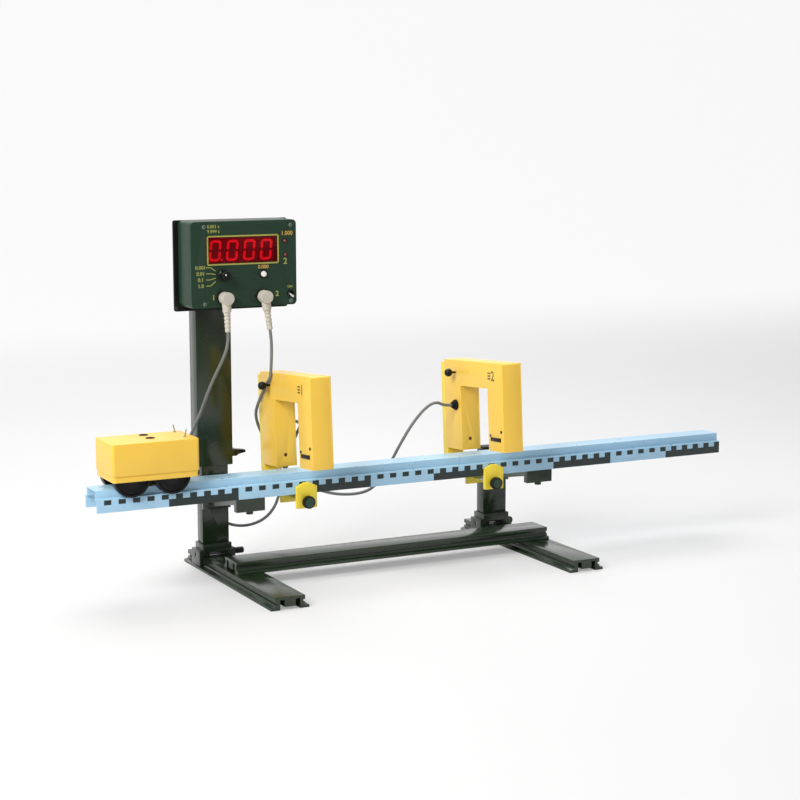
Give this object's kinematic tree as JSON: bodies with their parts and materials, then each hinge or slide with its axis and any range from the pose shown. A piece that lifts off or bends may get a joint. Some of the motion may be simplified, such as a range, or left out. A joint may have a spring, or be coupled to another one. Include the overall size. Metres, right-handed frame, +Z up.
{
  "type": "digital timer with light gates and track",
  "caption": "Classroom motion timer: a digital display on a mast, a straight track on a two-footed stand, light gates clamped to the track and a wheeled trolley.",
  "frame": {"origin": "on the bench under the middle of the object", "axes": "+X along the track to the right, +Y to the back, +Z up"},
  "size_m": [1, 0.3236, 0.5027],
  "materials": {
    "stand_green": "satin powder coat",
    "track_blue": "satin",
    "steel": "satin",
    "nylon_white": "matt",
    "black_plastic": "matt",
    "display_green": "satin",
    "window_red": "gloss",
    "digit_red": "lit",
    "board_green": "gloss",
    "button_white": "gloss",
    "case_yellow": "satin",
    "bracket_yellow": "satin",
    "wheel_black": "satin",
    "rubber_black": "matt",
    "brass": "satin",
    "plug_grey": "matt",
    "lead_grey": "satin",
    "lamp_red": "gloss"
  },
  "bodies": {
    "stand": {"feet": "stand_green", "cross_rail": "stand_green", "frame_bolts": "steel", "post_saddles": "stand_green", "posts": "stand_green", "tube_caps": "black_plastic", "mast_tube": "stand_green", "mast_liners": "nylon_white", "track_brackets": "stand_green", "track_rail": "track_blue", "display_clip": "stand_green", "display_case": "display_green", "display_back": "black_plastic", "display_window": "window_red", "digit_modules": "digit_red", "main_board": "board_green", "panel_switches": "black_plastic", "lead_sockets": "black_plastic", "indicator_lamps": "lamp_red", "case_screws": "steel", "battery_pack": "black_plastic", "plug_1": "plug_grey", "plug_2": "plug_grey", "lead_1": "lead_grey", "lead_2_upper": "lead_grey", "lead_2_middle": "lead_grey", "lead_2_lower": "lead_grey"},
    "gate_1": {"gate_1_shell": "case_yellow", "gate_1_cover": "case_yellow", "gate_1_sensors": "black_plastic", "gate_1_lead_peg": "black_plastic", "gate_1_gland": "rubber_black", "gate_1_trim": "black_plastic", "gate_1_bracket": "bracket_yellow", "gate_1_jaw": "bracket_yellow"},
    "gate_1_clamp_knob": {"gate_1_clamp_knob": "black_plastic"},
    "gate_2": {"gate_2_shell": "case_yellow", "gate_2_cover": "case_yellow", "gate_2_sensors": "black_plastic", "gate_2_lead_peg": "black_plastic", "gate_2_gland": "rubber_black", "gate_2_trim": "black_plastic", "gate_2_bracket": "bracket_yellow", "gate_2_jaw": "bracket_yellow"},
    "gate_2_clamp_knob": {"gate_2_clamp_knob": "black_plastic"},
    "trolley": {"trolley_body": "case_yellow", "trolley_base": "case_yellow", "axle_bushes": "brass", "trolley_top_fittings": "rubber_black", "trolley_bumper": "rubber_black"},
    "rear_wheelset": {"rear_axle": "steel", "rear_wheels": "wheel_black"},
    "front_wheelset": {"front_axle": "steel", "front_wheels": "wheel_black"},
    "left_base_knob": {"left_base_knob": "black_plastic"},
    "right_base_knob": {"right_base_knob": "black_plastic"},
    "mast_clamp_lever": {"mast_clamp_lever": "black_plastic"},
    "selector_knob": {"selector_knob": "black_plastic"},
    "reset_button": {"reset_button": "button_white"},
    "power_toggle": {"power_toggle": "steel"}
  },
  "joints": [
    {"name": "left_base_knob_turn", "type": "hinge", "parent": "stand", "child": "left_base_knob", "pos_m": [-0.241, 0.1135, 0.0198], "axis": [1, 0, 0], "range_deg": [0, 360]},
    {"name": "right_base_knob_turn", "type": "hinge", "parent": "stand", "child": "right_base_knob", "pos_m": [0.2155, 0.1135, 0.0198], "axis": [1, 0, 0], "range_deg": [0, 360]},
    {"name": "mast_clamp_lever_swing", "type": "hinge", "parent": "stand", "child": "mast_clamp_lever", "pos_m": [-0.241, 0.1135, 0.166], "axis": [0, -1, 0], "range_deg": [0, 75]},
    {"name": "selector_turn", "type": "hinge", "parent": "stand", "child": "selector_knob", "pos_m": [-0.284, 0.0333, 0.428], "axis": [0, 1, 0], "range_deg": [0, 150]},
    {"name": "reset_press", "type": "slide", "parent": "stand", "child": "reset_button", "axis": [0, 1, 0], "range_m": [0, 0.0022], "stiffness_N_per_m": 300},
    {"name": "power_toggle_tip", "type": "hinge", "parent": "stand", "child": "power_toggle", "pos_m": [-0.184, 0.0383, 0.399], "axis": [-1, 0, 0], "range_deg": [0, 24]},
    {"name": "gate_1_slide", "type": "slide", "parent": "stand", "child": "gate_1", "axis": [1, 0, 0], "range_m": [-0.031, 0.119], "deforming": ["lead_1", "lead_2_upper", "lead_2_middle"]},
    {"name": "gate_1_clamp_turn", "type": "hinge", "parent": "gate_1", "child": "gate_1_clamp_knob", "pos_m": [-0.20075, -0.06, 0.119], "axis": [0, -1, 0], "range_deg": [0, 360]},
    {"name": "gate_2_slide", "type": "slide", "parent": "stand", "child": "gate_2", "axis": [1, 0, 0], "range_m": [-0.114, 0.046], "deforming": ["lead_2_lower"]},
    {"name": "gate_2_clamp_turn", "type": "hinge", "parent": "gate_2", "child": "gate_2_clamp_knob", "pos_m": [0.0965, -0.06, 0.119], "axis": [0, -1, 0], "range_deg": [0, 360]},
    {"name": "trolley_roll", "type": "slide", "parent": "stand", "child": "trolley", "axis": [1, 0, 0], "range_m": [-0.015, 0.855]},
    {"name": "rear_wheels_spin", "type": "hinge", "parent": "trolley", "child": "rear_wheelset", "pos_m": [-0.4525, -0.02605, 0.173], "axis": [0, 1, 0], "continuous": true},
    {"name": "front_wheels_spin", "type": "hinge", "parent": "trolley", "child": "front_wheelset", "pos_m": [-0.396, -0.02605, 0.173], "axis": [0, 1, 0], "continuous": true}
  ],
  "couplings": [
    {"joint": "rear_wheels_spin", "follows": "trolley_roll", "rad_per_m": 40},
    {"joint": "front_wheels_spin", "follows": "trolley_roll", "rad_per_m": 40}
  ]
}
